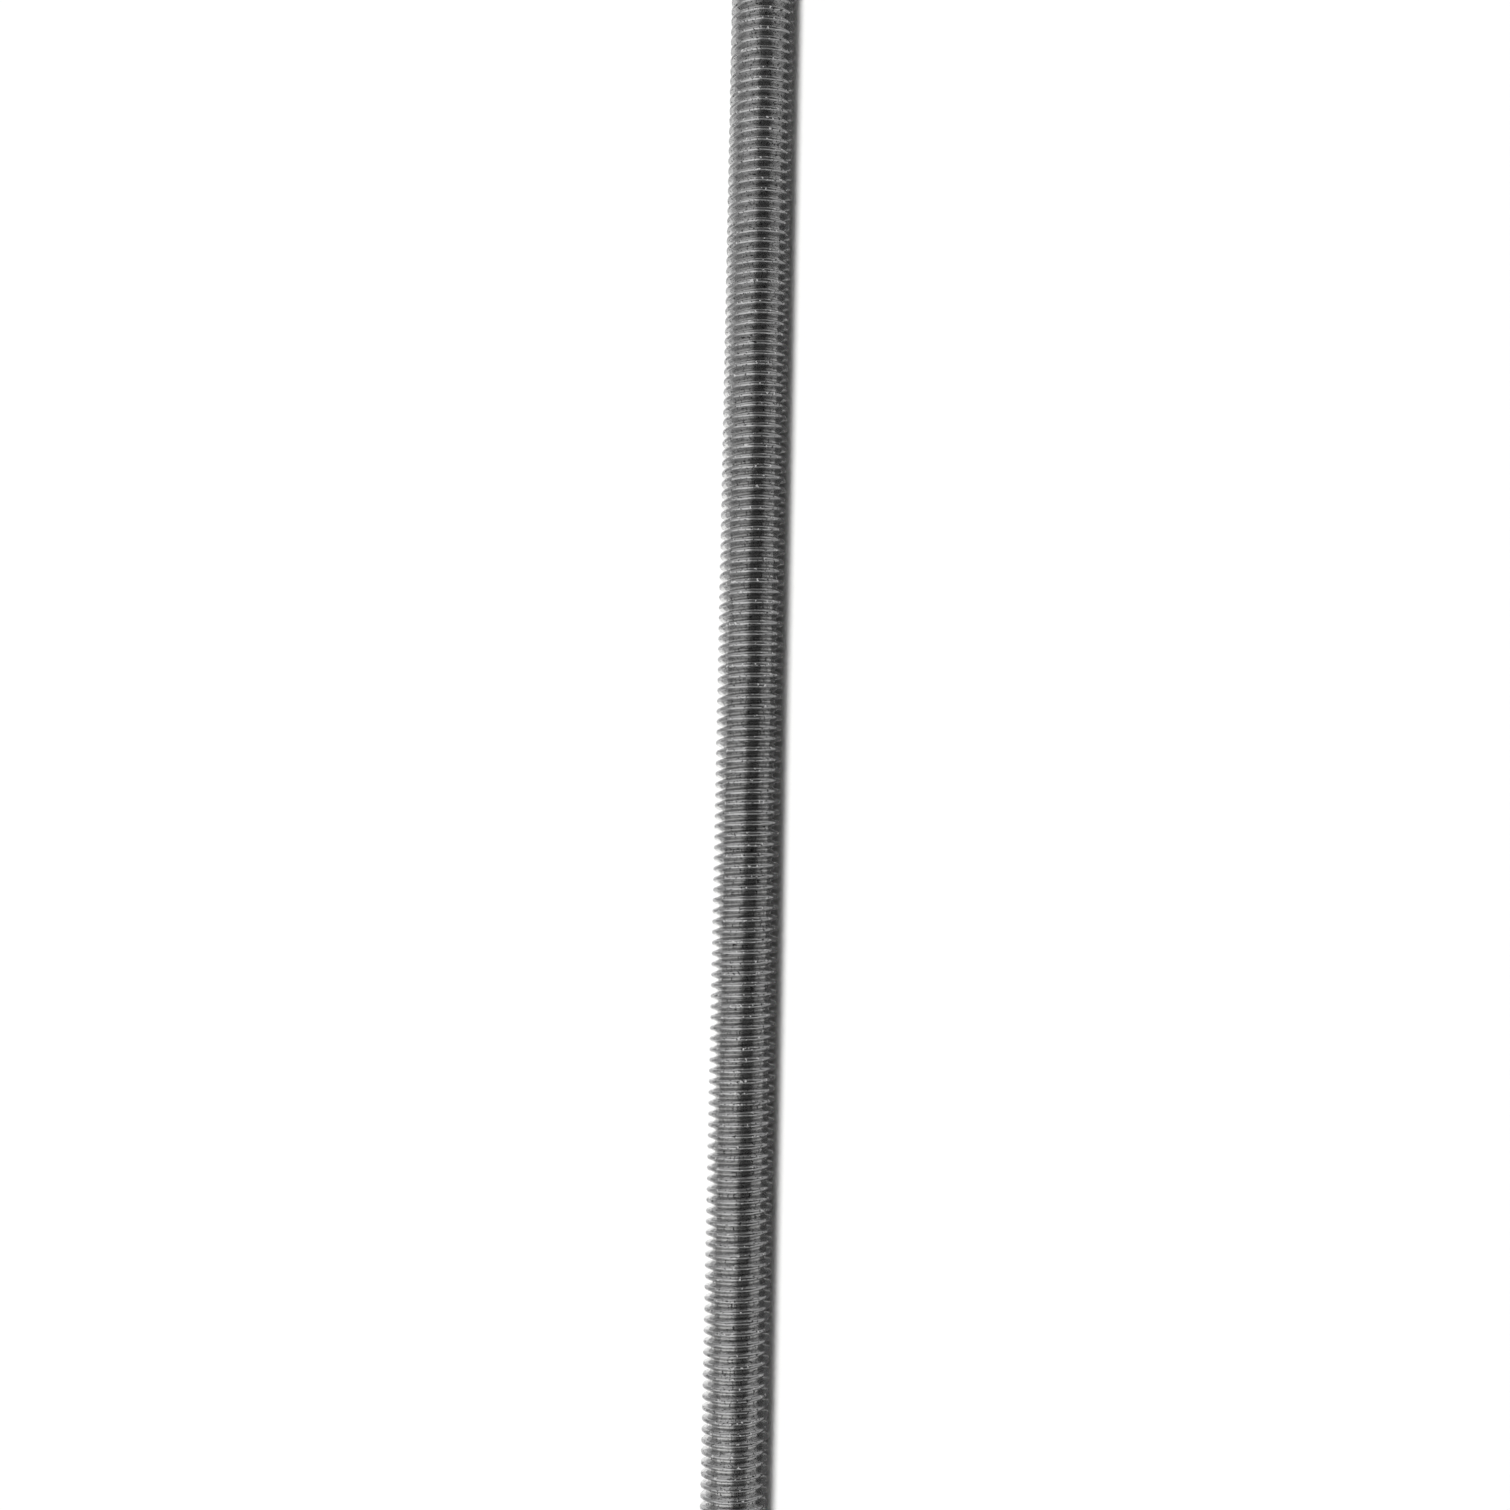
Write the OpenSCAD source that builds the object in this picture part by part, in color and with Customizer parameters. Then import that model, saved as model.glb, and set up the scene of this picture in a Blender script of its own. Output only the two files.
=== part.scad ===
// A length of metric threaded rod, made in one piece, as a V thread swept along the whole bar.
// The rod lies along Y on the plane z = 0, which its lowest crests touch, with its middle over
// the origin. All sizes are in millimetres.

/* [Rod] */
// Length of the rod from end face to end face
rod_length = 200; // [10:1:300]
// Diameter over the crests of the thread
major_d = 7.9; // [5:0.05:10]
// Width and height of the chamfer at each end
end_chamfer = 1; // [0.4:0.05:1.5]

/* [Thread] */
// Rise of the thread in one turn, right-handed
pitch = 1.25; // [0.8:0.05:1.5]
// Depth of the thread from crest to root
thread_depth = 0.93; // [0.4:0.01:1.1]

/* [Mesh] */
// Most triangles that the thread may have over its whole length
triangle_budget = 11000; // [6000:500:12500]
// Most steps of the root line in one turn, which a short rod reaches
finest_steps = 16; // [8:2:24]

/* [Hidden] */

crest_r = major_d / 2;
root_r = crest_r - thread_depth;
end_r = crest_r - end_chamfer;

// The thread starts before one end face and stops past the other, where the blank trims it
spare_turns = 1.5;
turns = ceil(rod_length / pitch) + 2 * spare_turns;

// The crest line shows more than the root line, so it has twice as many steps.
// Each step of the root line then makes 6 triangles, and an even number of steps
// puts points of the crest straight above, below and to each side of the axis.
triangles_per_step = 6;
affordable_steps = floor(triangle_budget / (2 * triangles_per_step * turns));
root_steps = min(finest_steps, 2 * affordable_steps);
crest_steps = 2 * root_steps;

// How far the blank stands off the crests, so that it trims the ends alone
trim_gap = 0.5;
smooth = 96;

// A point of the helix: its angle and its height both follow from the turn,
// and rise lifts it by a share of the pitch
function on_helix(radius, turn, rise = 0) =
    [radius * cos(360 * turn), radius * sin(360 * turn), pitch * (turn + rise)];

// The bar with its thread along Z, closed at both ends by a helical step that the blank cuts off
module thread_sweep() {
    last_root = root_steps * (turns - 1);
    last_crest = crest_steps * turns;
    crest = [for (i = [0 : last_crest])
        on_helix(crest_r, i / crest_steps - spare_turns)];
    root = [for (i = [0 : last_root])
        on_helix(root_r, i / root_steps - spare_turns, 0.5)];

    // The point numbers go on from the crest line to the root line and the two axis points
    root_0 = len(crest);
    low_centre = root_0 + len(root);
    high_centre = low_centre + 1;
    centres = [[0, 0, crest[0].z], [0, 0, crest[last_crest].z]];

    // From each crest down to the groove above it
    upper_flank = [for (i = [0 : last_root - 1])
        let (c = 2 * i, r = root_0 + i)
        each [[c, r, c + 1], [c + 1, r, r + 1], [c + 1, r + 1, c + 2]]];
    // From each groove out to the crest above it, one turn on
    lower_flank = [for (i = [0 : last_root - 1])
        let (c = 2 * i + crest_steps, r = root_0 + i)
        each [[r, c, c + 1], [r, c + 1, r + 1], [r + 1, c + 1, c + 2]]];
    low_end = concat(
        [for (i = [0 : crest_steps - 1]) [low_centre, i, i + 1]],
        [[low_centre, crest_steps, root_0], [low_centre, root_0, 0]]);
    high_end = concat(
        [for (i = [last_crest - crest_steps : last_crest - 1]) [high_centre, i + 1, i]],
        [[high_centre, root_0 + last_root, last_crest],
            [high_centre, last_crest - crest_steps, root_0 + last_root]]);

    polyhedron(
        points = concat(crest, root, centres),
        faces = concat(upper_flank, lower_flank, low_end, high_end));
}

// The envelope of the finished rod: square end faces and a 45 degree chamfer at each end
module chamfered_blank() {
    chamfer_reach = end_chamfer + trim_gap;
    rotate_extrude($fn = smooth)
        polygon([
            [0, 0],
            [end_r, 0],
            [end_r + chamfer_reach, chamfer_reach],
            [end_r + chamfer_reach, rod_length - chamfer_reach],
            [end_r, rod_length],
            [0, rod_length]]);
}

module threaded_rod() {
    color("silver")
        translate([0, -rod_length / 2, crest_r])
            rotate([-90, 0, 0])
                intersection() {
                    thread_sweep();
                    chamfered_blank();
                }
}

threaded_rod();
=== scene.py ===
"""A length of zinc-plated threaded rod, lying on a white surface and seen from above."""

from math import atan2, cos, hypot, pi, radians, sin, tan

import bpy
from mathutils import Euler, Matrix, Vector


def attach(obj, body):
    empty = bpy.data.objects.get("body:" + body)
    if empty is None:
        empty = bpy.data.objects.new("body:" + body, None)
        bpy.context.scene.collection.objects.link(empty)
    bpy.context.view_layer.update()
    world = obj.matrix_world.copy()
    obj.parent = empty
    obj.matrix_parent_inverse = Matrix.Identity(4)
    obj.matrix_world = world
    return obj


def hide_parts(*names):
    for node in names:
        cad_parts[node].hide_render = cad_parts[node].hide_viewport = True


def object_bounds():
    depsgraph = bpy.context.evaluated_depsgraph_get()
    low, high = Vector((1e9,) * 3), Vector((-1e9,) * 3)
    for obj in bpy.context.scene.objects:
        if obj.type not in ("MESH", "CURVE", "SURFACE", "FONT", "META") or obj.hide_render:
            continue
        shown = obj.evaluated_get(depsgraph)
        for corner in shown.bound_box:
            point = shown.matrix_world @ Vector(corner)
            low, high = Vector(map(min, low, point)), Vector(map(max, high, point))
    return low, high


MM = 0.001

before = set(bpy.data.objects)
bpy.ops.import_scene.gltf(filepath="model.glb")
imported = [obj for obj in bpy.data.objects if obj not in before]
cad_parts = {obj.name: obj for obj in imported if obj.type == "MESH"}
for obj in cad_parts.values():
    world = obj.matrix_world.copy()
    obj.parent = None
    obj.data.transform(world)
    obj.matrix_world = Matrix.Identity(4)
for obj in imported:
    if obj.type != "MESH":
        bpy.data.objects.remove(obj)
cad_low, cad_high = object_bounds()

# Driving sizes, from the frame: the rod lies along Y with its lowest crests on z = 0
ROD_LENGTH = cad_high.y - cad_low.y
MAJOR_R = (cad_high.z - cad_low.z) / 2
AXIS_Z = cad_low.z + MAJOR_R
NEAR_END = cad_low.y
END_CHAMFER = 1.0 * MM

# The thread's section: steep flanks, a rolled crest and a narrower rounded root
PITCH = 1.25 * MM
HALF_ANGLE = radians(21)
CREST_ROUND = 0.32 * MM
ROOT_ROUND = 0.11 * MM

# The form of each rounding, where 0.5 is an arc and less is flatter
CREST_PROFILE = 0.38
ROOT_PROFILE = 0.5

# How far an arc stays inside its sharp corner, as a share of its radius
CORNER_LOSS = 1 / sin(HALF_ANGLE) - 1

# The sharp tooth before it is rounded, and the radius that the rounded root goes down to
SHARP_HEIGHT = PITCH / 2 / tan(HALF_ANGLE)
SHARP_R = MAJOR_R + CREST_ROUND * CORNER_LOSS
ROOT_R = SHARP_R - SHARP_HEIGHT + ROOT_ROUND * CORNER_LOSS

# Rolling leaves the skin uneven, in waves about this wide and up to this deep
WAVE_WIDTH = 0.9 * MM
UNEVENNESS = 0.07 * MM

# How finely the thread and the blank that trims it are drawn
CREST_SEGMENTS = 6
ROOT_SEGMENTS = 3
STEPS_PER_TURN = 48
BLANK_SIDES = 96

# The sweep runs past both ends, and the blank stands off the crests
SPARE_TURNS = 2
TRIM_GAP = 0.4 * MM
SAW_ALLOWANCE = 0.3 * MM
MERGE_DISTANCE = 0.002 * MM
CUT_TOLERANCE = MERGE_DISTANCE / 100

# An edge that turns by more than this shades sharp
SHARP_EDGE = radians(38)


def deselect_all():
    """Nothing stays selected, because an operator acts on all that is."""
    if bpy.context.object and bpy.context.object.mode != "OBJECT":
        bpy.ops.object.mode_set(mode="OBJECT")
    bpy.ops.object.select_all(action="DESELECT")


def only(piece):
    """The one object that the next operators act on."""
    deselect_all()
    piece.select_set(True)
    bpy.context.view_layer.objects.active = piece


def edit_all(piece):
    """Edit mode on one piece, with all of its mesh selected."""
    only(piece)
    bpy.ops.object.mode_set(mode="EDIT")
    bpy.ops.mesh.select_mode(type="VERT")
    bpy.ops.mesh.select_all(action="SELECT")


def select_vertices(piece, wanted):
    """In edit mode, the vertices whose place passes the test are selected."""
    bpy.ops.mesh.select_all(action="DESELECT")
    bpy.ops.object.mode_set(mode="OBJECT")
    for vertex in piece.data.vertices:
        vertex.select = wanted(vertex.co)
    bpy.ops.object.mode_set(mode="EDIT")


def apply_modifier(piece, modifier):
    """What the modifier makes becomes the piece's own mesh."""
    only(piece)
    bpy.ops.object.modifier_apply(modifier=modifier.name)


def place_in_mesh(piece):
    """The object goes to the origin, and its place goes into its mesh."""
    only(piece)
    bpy.ops.object.transform_apply(location=True, rotation=True, scale=True)


def extrude_to(step):
    """The selected vertex is drawn out along a straight edge."""
    bpy.ops.mesh.extrude_region_move(TRANSFORM_OT_translate={"value": step})


def round_corner(outline, y, radius, segments, profile):
    """The corner of the tooth's outline at this place along the bar is rounded."""
    select_vertices(outline, lambda place: abs(place.y - y) < MERGE_DISTANCE)
    bpy.ops.mesh.bevel(
        affect="VERTICES",
        offset=radius / tan(HALF_ANGLE),
        segments=segments,
        profile=profile,
    )


def tooth_outline():
    """One pitch of the thread in section, from the middle of one flank to the next like it."""
    start = NEAR_END - SPARE_TURNS * PITCH - PITCH / 4
    deselect_all()
    bpy.ops.mesh.primitive_plane_add(size=PITCH, location=(0, 0, AXIS_Z))
    outline = bpy.context.object
    outline.name = "threaded_rod_steel"
    bpy.ops.object.mode_set(mode="EDIT")
    bpy.ops.mesh.select_mode(type="VERT")
    bpy.ops.mesh.merge(type="CENTER")
    bpy.ops.transform.translate(value=(SHARP_R - SHARP_HEIGHT / 2, start, 0))
    extrude_to((SHARP_HEIGHT / 2, PITCH / 4, 0))
    extrude_to((-SHARP_HEIGHT, PITCH / 2, 0))
    extrude_to((SHARP_HEIGHT / 2, PITCH / 4, 0))
    round_corner(outline, start + PITCH * 3 / 4, ROOT_ROUND, ROOT_SEGMENTS, ROOT_PROFILE)
    round_corner(outline, start + PITCH / 4, CREST_ROUND, CREST_SEGMENTS, CREST_PROFILE)
    bpy.ops.object.mode_set(mode="OBJECT")
    return outline


def sweep_thread(outline):
    """The outline is screwed along the bar, and each turn is joined to the next."""
    screw = outline.modifiers.new("thread", "SCREW")
    screw.axis = "Y"
    screw.angle = 2 * pi
    screw.screw_offset = PITCH
    screw.iterations = round(ROD_LENGTH / PITCH) + 2 * SPARE_TURNS
    screw.steps = STEPS_PER_TURN
    screw.render_steps = STEPS_PER_TURN
    apply_modifier(outline, screw)
    place_in_mesh(outline)
    edit_all(outline)
    bpy.ops.mesh.remove_doubles(threshold=MERGE_DISTANCE)
    bpy.ops.object.mode_set(mode="OBJECT")


def saw_off(thread, side):
    """The sweep is cut through a little past one end of the rod, and the cut is closed."""
    edit_all(thread)
    bpy.ops.mesh.bisect(
        plane_co=(0, side * (ROD_LENGTH / 2 + SAW_ALLOWANCE), 0),
        plane_no=(0, side, 0),
        use_fill=True,
        clear_outer=True,
        threshold=CUT_TOLERANCE,
    )
    bpy.ops.object.mode_set(mode="OBJECT")


def turn_faces_out(thread):
    """Every face of the closed thread points outwards."""
    edit_all(thread)
    bpy.ops.mesh.normals_make_consistent(inside=False)
    bpy.ops.object.mode_set(mode="OBJECT")


def roll_unevenly(thread):
    """The skin sinks here and there by some hundredths of a millimetre, as rolling leaves it."""
    waves = bpy.data.textures.new("rolling_waves", "CLOUDS")
    waves.noise_scale = WAVE_WIDTH
    waves.noise_depth = 2
    uneven = thread.modifiers.new("uneven", "DISPLACE")
    uneven.texture = waves
    uneven.texture_coords = "LOCAL"
    uneven.mid_level = 1.0
    uneven.strength = UNEVENNESS
    apply_modifier(thread, uneven)


def trim_to_blank(thread):
    """The ends are cut square, with a 45 degree chamfer, as by a saw and a file."""
    deselect_all()
    bpy.ops.mesh.primitive_cylinder_add(
        vertices=BLANK_SIDES,
        radius=MAJOR_R + TRIM_GAP,
        depth=ROD_LENGTH,
        location=(0, 0, AXIS_Z),
        rotation=(radians(90), 0, 0),
    )
    blank = bpy.context.object
    chamfer = blank.modifiers.new("chamfer", "BEVEL")
    chamfer.width = END_CHAMFER + TRIM_GAP
    chamfer.segments = 1
    chamfer.limit_method = "ANGLE"
    apply_modifier(blank, chamfer)
    place_in_mesh(blank)
    trim = thread.modifiers.new("trim", "BOOLEAN")
    trim.operation = "INTERSECT"
    trim.solver = "MANIFOLD"
    trim.object = blank
    apply_modifier(thread, trim)
    bpy.data.objects.remove(blank)


def smooth_thread(thread):
    """Crest and root shade round, the flanks stay flat and the cut ends stay sharp."""
    only(thread)
    bpy.ops.object.shade_smooth_by_angle(angle=SHARP_EDGE)
    weighted = thread.modifiers.new("flat_flanks", "WEIGHTED_NORMAL")
    weighted.keep_sharp = True
    apply_modifier(thread, weighted)


def threaded_rod():
    """The whole rod: its thread is swept and closed, left uneven as rolled, and its ends are cut."""
    thread = tooth_outline()
    sweep_thread(thread)
    saw_off(thread, -1)
    saw_off(thread, 1)
    turn_faces_out(thread)
    roll_unevenly(thread)
    trim_to_blank(thread)
    smooth_thread(thread)
    return thread


# The zinc's greys: bright and duller along the streaks, on the crests, in the roots and in pits
ZINC = "#dedede"
ZINC_DULL = "#c4c4c4"
ZINC_CREST = "#c8c8c8"
ZINC_ROOT = "#e4e4e3"
PIT_GREY = "#484848"

# How many marks of a kind lie in a millimetre: across the rod, along it and up, or every way
STREAKS_PER_MM = (0.5, 9.0, 0.5)
SCRATCHES_PER_MM = (7.0, 1.2, 7.0)
PATCHES_PER_MM = 0.7
PITS_PER_MM = 4.0
NICKS_PER_MM = 2.5

# The levels of each noise between which its mark grows from none to full
STREAK_LEVELS = (0.35, 0.65)
PATCH_LEVELS = (0.35, 0.6)
SATIN_LEVELS = (0.3, 0.7)
PIT_LEVELS = (0.60, 0.67)
NICK_LEVELS = (0.66, 0.69)

# How much of their own greys the crests and roots still show between the patches
PATCH_LEAST = 0.45

# In millimetres under the crests' top: where their finish begins and where it is full
CREST_BAND = (0.25, 0.02)

# In millimetres under and over the roots' bottom: where their finish is full and where it ends
ROOT_BAND = (0.02, 0.08)

# In millimetres from the end face: where the sawn finish begins and where it is full
SAWN_BAND = (0.04, 0.02)

# Roughness from the brightest zinc to the most satin, and what the saw adds to it
SATIN_ROUGHNESS = (0.08, 0.18)
SAWN_ROUGHNESS = 0.3

# How deep the streaks, pits and scratches are
RELIEF_DEPTH = 0.012 * MM


def linear(hex_colour):
    """An sRGB hex colour as the linear numbers that a socket takes."""
    levels = [int(hex_colour[i : i + 2], 16) / 255 for i in (1, 3, 5)]
    return [c / 12.92 if c <= 0.04045 else ((c + 0.055) / 1.055) ** 2.4 for c in levels] + [1]


def add(nodes, kind, settings=None, **inputs):
    """A node with its settings, and each input set to a value or linked to an output."""
    node = nodes.new(kind)
    for name, value in (settings or {}).items():
        setattr(node, name, value)
    for name, value in inputs.items():
        key = int(name[1:]) if name[1:].isdigit() else name.replace("_", " ")
        socket = node.inputs[key]
        if isinstance(value, bpy.types.NodeSocket):
            nodes.id_data.links.new(value, socket)
        else:
            socket.default_value = value
    return node


def new_material(name):
    """An empty material, and the nodes that it is to be made of."""
    material = bpy.data.materials.new(name)
    material.use_nodes = True
    nodes = material.node_tree.nodes
    nodes.clear()
    return material, nodes


def place_on_thread(nodes):
    """A point's place from the axis, the same with the helix's rise taken off, and its radius, in mm.

    With the rise taken off, a crest keeps one place along the rod for a whole turn.
    """
    place = add(nodes, "ShaderNodeTexCoord").outputs["Object"]
    in_mm = add(nodes, "ShaderNodeVectorMath", {"operation": "SCALE"}, _0=place, Scale=1 / MM)
    from_axis = add(
        nodes,
        "ShaderNodeVectorMath",
        {"operation": "SUBTRACT"},
        _0=in_mm.outputs[0],
        _1=(0, 0, AXIS_Z / MM),
    )
    axes = add(nodes, "ShaderNodeSeparateXYZ", Vector=from_axis.outputs[0]).outputs
    around = add(nodes, "ShaderNodeMath", {"operation": "ARCTAN2"}, _0=axes["X"], _1=axes["Z"])
    unrolled = add(
        nodes,
        "ShaderNodeMath",
        {"operation": "MULTIPLY_ADD"},
        _0=around.outputs[0],
        _1=-PITCH / MM / (2 * pi),
        _2=axes["Y"],
    )
    across = add(nodes, "ShaderNodeCombineXYZ", X=axes["X"], Z=axes["Z"])
    radius = add(nodes, "ShaderNodeVectorMath", {"operation": "LENGTH"}, _0=across.outputs[0])
    along = add(nodes, "ShaderNodeCombineXYZ", X=axes["X"], Y=unrolled.outputs[0], Z=axes["Z"])
    return from_axis.outputs[0], along.outputs[0], radius.outputs["Value"]


def on_crest(nodes, radius):
    """1 on top of the crests, which the dies don't close on, down to 0 on the flanks."""
    share = add(
        nodes,
        "ShaderNodeMapRange",
        Value=radius,
        From_Min=MAJOR_R / MM - CREST_BAND[0],
        From_Max=MAJOR_R / MM - CREST_BAND[1],
    )
    return share.outputs[0]


def in_root(nodes, radius):
    """1 in the bottom of the groove, which the dies polish, down to 0 on the flanks."""
    share = add(
        nodes,
        "ShaderNodeMapRange",
        Value=radius,
        From_Min=ROOT_R / MM - ROOT_BAND[0],
        From_Max=ROOT_R / MM + ROOT_BAND[1],
        To_Min=1.0,
        To_Max=0.0,
    )
    return share.outputs[0]


def sawn_roughness(nodes, place):
    """What the saw adds to the roughness: all of it on the end faces, and none between them."""
    beyond = add(nodes, "ShaderNodeVectorMath", {"operation": "ABSOLUTE"}, _0=place)
    to_end = add(nodes, "ShaderNodeSeparateXYZ", Vector=beyond.outputs[0]).outputs["Y"]
    half_length = ROD_LENGTH / 2 / MM
    sawn = add(
        nodes,
        "ShaderNodeMapRange",
        Value=to_end,
        From_Min=half_length - SAWN_BAND[0],
        From_Max=half_length - SAWN_BAND[1],
        To_Max=SAWN_ROUGHNESS,
    )
    return sawn.outputs[0]


def drawn_marks(nodes, place, per_mm, detail):
    """Long thin marks, by how many of them lie in a millimetre each way."""
    counted = add(nodes, "ShaderNodeVectorMath", {"operation": "MULTIPLY"}, _0=place, _1=per_mm)
    marks = add(nodes, "ShaderNodeTexNoise", Vector=counted.outputs[0], Scale=1.0, Detail=detail)
    return marks.outputs[0]


def specks(nodes, place, per_mm, detail, levels):
    """Small spots, from 0 around them to 1 inside, where the noise rises through these levels."""
    grains = add(nodes, "ShaderNodeTexNoise", Vector=place, Scale=per_mm, Detail=detail)
    spots = add(
        nodes,
        "ShaderNodeMapRange",
        Value=grains.outputs[0],
        From_Min=levels[0],
        From_Max=levels[1],
    )
    return spots.outputs[0]


def zinc_colour(nodes, layers):
    """Bright zinc, with the colour of each layer laid over it by the layer's share."""
    colour = linear(ZINC)
    for share, hex_colour in layers:
        laid = add(
            nodes,
            "ShaderNodeMix",
            {"data_type": "RGBA"},
            _0=share,
            _6=colour,
            _7=linear(hex_colour),
        )
        colour = laid.outputs[2]
    return colour


def zinc_plated_steel():
    """Bright zinc over rolled steel: satin metal, streaked along the thread by the rolling."""
    material, nodes = new_material("zinc_plated_rolled_steel")
    place, along, radius = place_on_thread(nodes)
    crest = on_crest(nodes, radius)
    root = in_root(nodes, radius)

    # Rolling streaks that follow the helix, about 0.1 mm wide and 2 mm long. Real ones are
    # finer, and these are as coarse as they need to be to show
    streaks = drawn_marks(nodes, along, STREAKS_PER_MM, 3.0)
    dullness = add(
        nodes,
        "ShaderNodeMapRange",
        Value=streaks,
        From_Min=STREAK_LEVELS[0],
        From_Max=STREAK_LEVELS[1],
    )

    # Fine scratches across the crests, from nuts and from other rods
    scratches = drawn_marks(nodes, place, SCRATCHES_PER_MM, 2.0)

    # Pits and specks of 0.1 to 0.2 mm
    pits = specks(nodes, place, PITS_PER_MM, 2.0, PIT_LEVELS)

    # Cloudy patches, about 1.5 mm across, that are more satin and show more of the crests'
    # dull grey and of the roots' bright one
    clouds = add(nodes, "ShaderNodeTexNoise", Vector=place, Scale=PATCHES_PER_MM, Detail=4.0)
    patchy = add(
        nodes,
        "ShaderNodeMapRange",
        Value=clouds.outputs[0],
        From_Min=PATCH_LEVELS[0],
        From_Max=PATCH_LEVELS[1],
        To_Min=PATCH_LEAST,
        To_Max=1.0,
    )
    dulled = add(nodes, "ShaderNodeMath", {"operation": "MULTIPLY"}, _0=crest, _1=patchy.outputs[0])
    polished = add(nodes, "ShaderNodeMath", {"operation": "MULTIPLY"}, _0=root, _1=patchy.outputs[0])
    colour = zinc_colour(
        nodes,
        (
            (dullness.outputs[0], ZINC_DULL),
            (polished.outputs[0], ZINC_ROOT),
            (dulled.outputs[0], ZINC_CREST),
            (pits, PIT_GREY),
        ),
    )

    # The rolled thread is satin, and the sawn ends are rougher
    satin = add(
        nodes,
        "ShaderNodeMapRange",
        Value=clouds.outputs[0],
        From_Min=SATIN_LEVELS[0],
        From_Max=SATIN_LEVELS[1],
        To_Min=SATIN_ROUGHNESS[0],
        To_Max=SATIN_ROUGHNESS[1],
    )
    sawn = sawn_roughness(nodes, place)
    rough = add(nodes, "ShaderNodeMath", {"operation": "ADD"}, _0=satin.outputs[0], _1=sawn)

    # Nicks in the crests, 0.2 to 0.3 mm across and sparse, whose raw rough metal scatters the light
    nicks = specks(nodes, place, NICKS_PER_MM, 1.0, NICK_LEVELS)
    nicked = add(nodes, "ShaderNodeMath", {"operation": "MULTIPLY"}, _0=nicks, _1=crest)
    mirroring = add(nodes, "ShaderNodeMath", {"operation": "SUBTRACT"}, _0=1.0, _1=nicked.outputs[0])

    # The light catches on the streaks, on the edges of the pits and on the crests' scratches
    dented = add(nodes, "ShaderNodeMath", {"operation": "SUBTRACT"}, _0=streaks, _1=pits)
    relief = add(
        nodes,
        "ShaderNodeMath",
        {"operation": "MULTIPLY_ADD"},
        _0=scratches,
        _1=crest,
        _2=dented.outputs[0],
    )
    bump = add(
        nodes,
        "ShaderNodeBump",
        Strength=1.0,
        Distance=RELIEF_DEPTH,
        Height=relief.outputs[0],
    )
    surface = add(
        nodes,
        "ShaderNodeBsdfPrincipled",
        Base_Color=colour,
        Metallic=mirroring.outputs[0],
        Roughness=rough.outputs[0],
        Normal=bump.outputs[0],
    )
    add(nodes, "ShaderNodeOutputMaterial", Surface=surface.outputs[0])
    return material


# The white card reaches far past the picture's edges, so that the rod lies on it from any side
FLOOR_SIZE = 16.0
WHITE = "#fbfbfa"

# The grey cards that the rod mirrors low down: a paler strip close by on the left, a dark one
# on the right, and mid grey farther out. The dark strip is a painted shadow: the metal mirrors it
# in place of the rod's shadow on the white card. Each has its name, its inner edge, its outer edge
# and the height of its outer edge, in millimetres from the rod's middle and the floor, and its grey
CARDS = (
    ("left_strip", -5, -11, 0.2, 0.75),
    ("left_card", -11, -400, 60, 0.36),
    # Painted shadow: a dark strip that the metal mirrors in place of the rod's shadow beside it
    ("right_painted_shadow_strip", 4.6, 17, 0.2, 0.10),
    ("right_card", 17, 400, 60, 0.40),
)
CARD_LENGTH = 600 * MM
CARD_LOW = 0.2 * MM


def white_surface():
    """Matt white card under the rod, which takes its shadow."""
    material, nodes = new_material("matt_white_card")
    surface = add(
        nodes,
        "ShaderNodeBsdfPrincipled",
        Base_Color=linear(WHITE),
        Roughness=0.9,
        Specular_IOR_Level=0.0,
    )
    add(nodes, "ShaderNodeOutputMaterial", Surface=surface.outputs[0])
    return material


def floor():
    """The white card that the rod lies on."""
    deselect_all()
    bpy.ops.mesh.primitive_plane_add(size=FLOOR_SIZE)
    sheet = bpy.context.object
    sheet.name = "white_card"
    sheet.data.materials.append(white_surface())


def plain_glow(name, level):
    """An even grey that the metal mirrors, and that lights nothing matt."""
    material, nodes = new_material(name)
    bounces = add(nodes, "ShaderNodeLightPath").outputs["Diffuse Depth"]
    mirrored = add(nodes, "ShaderNodeMath", {"operation": "LESS_THAN"}, _0=bounces, _1=0.5)
    surface = add(
        nodes,
        "ShaderNodeEmission",
        Color=(level, level, level, 1),
        Strength=mirrored.outputs[0],
    )
    add(nodes, "ShaderNodeOutputMaterial", Surface=surface.outputs[0])
    return material


def grey_card(name, inner, outer, level):
    """A long card beside the rod, from one edge's x and z to the other's, that only the metal sees."""
    deselect_all()
    width = outer[0] - inner[0]
    rise = outer[1] - inner[1]
    middle = ((inner[0] + outer[0]) / 2, 0, (inner[1] + outer[1]) / 2)
    bpy.ops.mesh.primitive_plane_add(size=1, location=middle)
    card = bpy.context.object
    card.name = name
    card.scale = (hypot(width, rise), CARD_LENGTH, 1)
    card.rotation_euler = (0, -atan2(rise, width), 0)
    card.data.materials.append(plain_glow(name + "_grey", level))
    card.visible_camera = False
    card.visible_diffuse = False
    card.visible_shadow = False


def cards():
    """All the grey cards, each from its low inner edge to its outer edge."""
    for name, inner_x, outer_x, outer_z, level in CARDS:
        grey_card(name, (inner_x * MM, CARD_LOW), (outer_x * MM, outer_z * MM), level)


# What the rod mirrors, by the angle from straight up, clockwise as seen from the near end:
# a pale screen on each side and, between them, the dark gap that the camera looks through
SCREENS = (
    (-180, 0.37),
    (-55, 0.37),
    (-43, 0.41),
    (-31, 0.34),
    (-12, 0.06),
    (36, 0.05),
    (50, 0.28),
    (106, 0.36),
    (116, 0.18),
)

# All of it is turned farther to the right: by the near turn in directions up to the first
# share along the rod, by the far turn from the second share on, and evenly less between them
NEAR_TURN = radians(18)
FAR_TURN = radians(5)
TURN_SHARES = (-0.35, 0.1)

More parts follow.
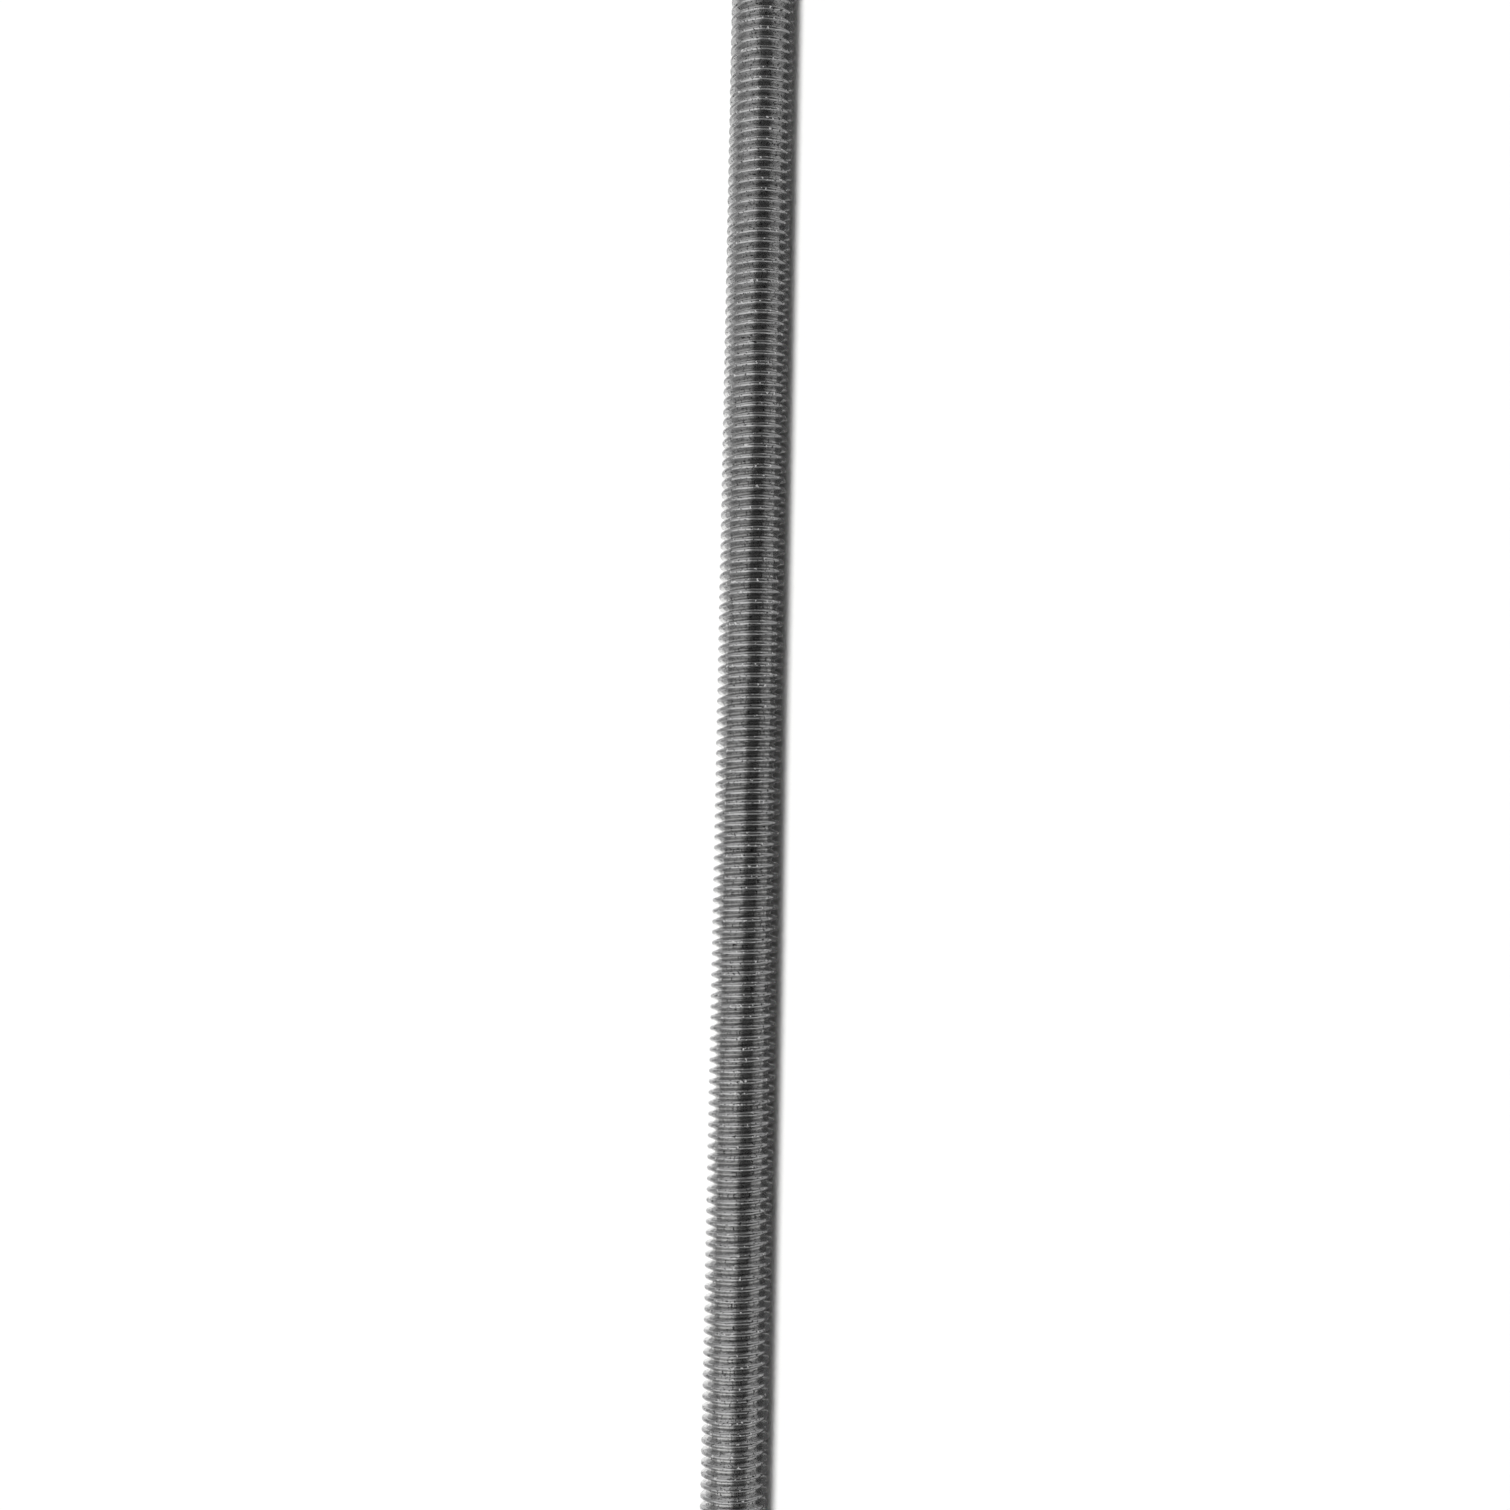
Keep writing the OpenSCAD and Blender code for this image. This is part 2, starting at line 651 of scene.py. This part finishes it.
# In directions toward either end it is paler by up to this much, which shows most in the gap.
# That begins at the first of these shares along the rod and is full at the second
END_LIFT = 0.10
LIFT_SHARES = (0.5, 0.8)

# How strong it is in bands, by the direction's share along the rod, near end first
BANDS = (
    (-0.74, 1.3),
    (-0.6, 1.0),
    (-0.48, 1.5),
    (-0.25, 1.5),
    (-0.15, 0.85),
    (0.46, 0.85),
    (0.56, 1.8),
    (0.66, 1.8),
    (0.76, 1.3),
)
BRIGHTEST_BAND = 1.8

# It is also stronger from the near end than from the far one, and a little from the left.
# It goes from near to far between these sums of the direction's share along the rod and
# this part of its share across it
NEAR_STRENGTH = 1.5
FAR_STRENGTH = 0.9
STRENGTH_SUMS = (-0.5, 0.35)
PART_ACROSS = 0.3

# The light of the room on the white card
AMBIENT = 0.035


def set_stops(ramp, levels):
    """The ramp goes through these greys, given as pairs of place and level."""
    stops = ramp.color_ramp.elements
    while len(stops) < len(levels):
        stops.new(0.5)
    for stop, (place, level) in zip(stops, levels):
        stop.position = place
    for stop, (place, level) in zip(stops, levels):
        stop.color = (level, level, level, 1)


def tent_greys(nodes, axes):
    """The grey in each direction: the screens and their gap, turned, and paler toward the ends."""
    around = add(nodes, "ShaderNodeMath", {"operation": "ARCTAN2"}, _0=axes["X"], _1=axes["Z"])
    turn = add(
        nodes,
        "ShaderNodeMapRange",
        Value=axes["Y"],
        From_Min=TURN_SHARES[0],
        From_Max=TURN_SHARES[1],
        To_Min=NEAR_TURN,
        To_Max=FAR_TURN,
    )
    turned = add(
        nodes,
        "ShaderNodeMath",
        {"operation": "SUBTRACT"},
        _0=around.outputs[0],
        _1=turn.outputs[0],
    )
    share = add(nodes, "ShaderNodeMapRange", Value=turned.outputs[0], From_Min=-pi, From_Max=pi)
    screens = add(nodes, "ShaderNodeValToRGB", Fac=share.outputs[0])
    set_stops(screens, [(angle / 360 + 0.5, level) for angle, level in SCREENS])
    to_an_end = add(nodes, "ShaderNodeMath", {"operation": "ABSOLUTE"}, _0=axes["Y"])
    lift = add(
        nodes,
        "ShaderNodeMapRange",
        Value=to_an_end.outputs[0],
        From_Min=LIFT_SHARES[0],
        From_Max=LIFT_SHARES[1],
        To_Min=0.0,
        To_Max=END_LIFT,
    )
    greys = add(
        nodes,
        "ShaderNodeVectorMath",
        {"operation": "ADD"},
        _0=screens.outputs[0],
        _1=lift.outputs[0],
    )
    return greys.outputs[0]


def tent_strength(nodes, axes):
    """How strong the light is in each direction: by its bands, and by how near and left it is."""
    along = add(nodes, "ShaderNodeMapRange", Value=axes["Y"], From_Min=-1.0)
    bands = add(nodes, "ShaderNodeValToRGB", Fac=along.outputs[0])
    set_stops(bands, [(y / 2 + 0.5, gain / BRIGHTEST_BAND) for y, gain in BANDS])
    from_near_left = add(
        nodes,
        "ShaderNodeMath",
        {"operation": "MULTIPLY_ADD"},
        _0=axes["X"],
        _1=PART_ACROSS,
        _2=axes["Y"],
    )
    nearer = add(
        nodes,
        "ShaderNodeMapRange",
        Value=from_near_left.outputs[0],
        From_Min=STRENGTH_SUMS[0],
        From_Max=STRENGTH_SUMS[1],
        To_Min=NEAR_STRENGTH,
        To_Max=FAR_STRENGTH,
    )
    banded = add(
        nodes,
        "ShaderNodeMath",
        {"operation": "MULTIPLY"},
        _0=nearer.outputs[0],
        _1=bands.outputs[0],
    )
    strength = add(
        nodes,
        "ShaderNodeMath",
        {"operation": "MULTIPLY"},
        _0=banded.outputs[0],
        _1=BRIGHTEST_BAND,
    )
    return strength.outputs[0]


def light_tent():
    """The world: a pale screen on each side, a dark gap overhead and dim light on the card."""
    world = bpy.data.worlds.new("light_tent")
    bpy.context.scene.world = world
    world.use_nodes = True
    nodes = world.node_tree.nodes
    nodes.clear()
    direction = add(nodes, "ShaderNodeTexCoord").outputs["Generated"]
    axes = add(nodes, "ShaderNodeSeparateXYZ", Vector=direction).outputs
    bounces = add(nodes, "ShaderNodeLightPath").outputs["Diffuse Depth"]
    room = add(
        nodes,
        "ShaderNodeMix",
        {"data_type": "RGBA"},
        _0=bounces,
        _6=tent_greys(nodes, axes),
        _7=(AMBIENT, AMBIENT, AMBIENT, 1),
    )
    lit = add(
        nodes,
        "ShaderNodeBackground",
        Color=room.outputs[2],
        Strength=tent_strength(nodes, axes),
    )
    add(nodes, "ShaderNodeOutputWorld", Surface=lit.outputs[0])


# A broad soft lamp, nearly overhead and to the left. It is far off, so that the card is evenly
# lit, and narrow across the rod, so that the rod's shadow keeps an edge
LAMP_DISTANCE = 6.0
LAMP_LEAN = radians(12.6)
LAMP_WIDTH = 0.95
LAMP_LENGTH = 6.0
LAMP_POWER = 425


def overhead_lamp():
    """The lamp that lights the white card and casts the rod's shadow, and that no metal mirrors."""
    data = bpy.data.lights.new("overhead_lamp", "AREA")
    data.shape = "RECTANGLE"
    data.size = LAMP_WIDTH
    data.size_y = LAMP_LENGTH
    data.energy = LAMP_POWER
    lamp = bpy.data.objects.new("overhead_lamp", data)
    bpy.context.scene.collection.objects.link(lamp)
    lamp.location = (-LAMP_DISTANCE * sin(LAMP_LEAN), 0, LAMP_DISTANCE * cos(LAMP_LEAN))
    lamp.rotation_euler = (0, -LAMP_LEAN, 0)
    lamp.visible_glossy = False


# The camera looks down from above the near half, its top edge leaning away
CAMERA_HEIGHT = 239.4 * MM
CAMERA_PITCH = radians(4.46)
CAMERA_ROLL = radians(1.13)
CAMERA_PLACE = (0.8 * MM, -21.9 * MM)
CAMERA_LENS = 48.0
CAMERA_SENSOR = 36
CAMERA_SEES = (0.01, 20)


def camera():
    """The view from above, rolled a little and then pitched."""
    data = bpy.data.cameras.new("camera")
    data.sensor_width = CAMERA_SENSOR
    data.lens = CAMERA_LENS
    data.clip_start = CAMERA_SEES[0]
    data.clip_end = CAMERA_SEES[1]
    view = bpy.data.objects.new("camera", data)
    bpy.context.scene.collection.objects.link(view)
    view.location = (*CAMERA_PLACE, AXIS_Z + CAMERA_HEIGHT)
    roll = Euler((0, 0, CAMERA_ROLL)).to_matrix()
    pitch = Euler((CAMERA_PITCH, 0, 0)).to_matrix()
    view.rotation_euler = (pitch @ roll).to_euler()
    bpy.context.scene.camera = view


rod = threaded_rod()
rod.data.materials.clear()
rod.data.materials.append(zinc_plated_steel())
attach(rod, "root")
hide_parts("threaded_rod")

floor()
cards()
light_tent()
overhead_lamp()
camera()

scene = bpy.context.scene
scene.view_settings.view_transform = "Standard"
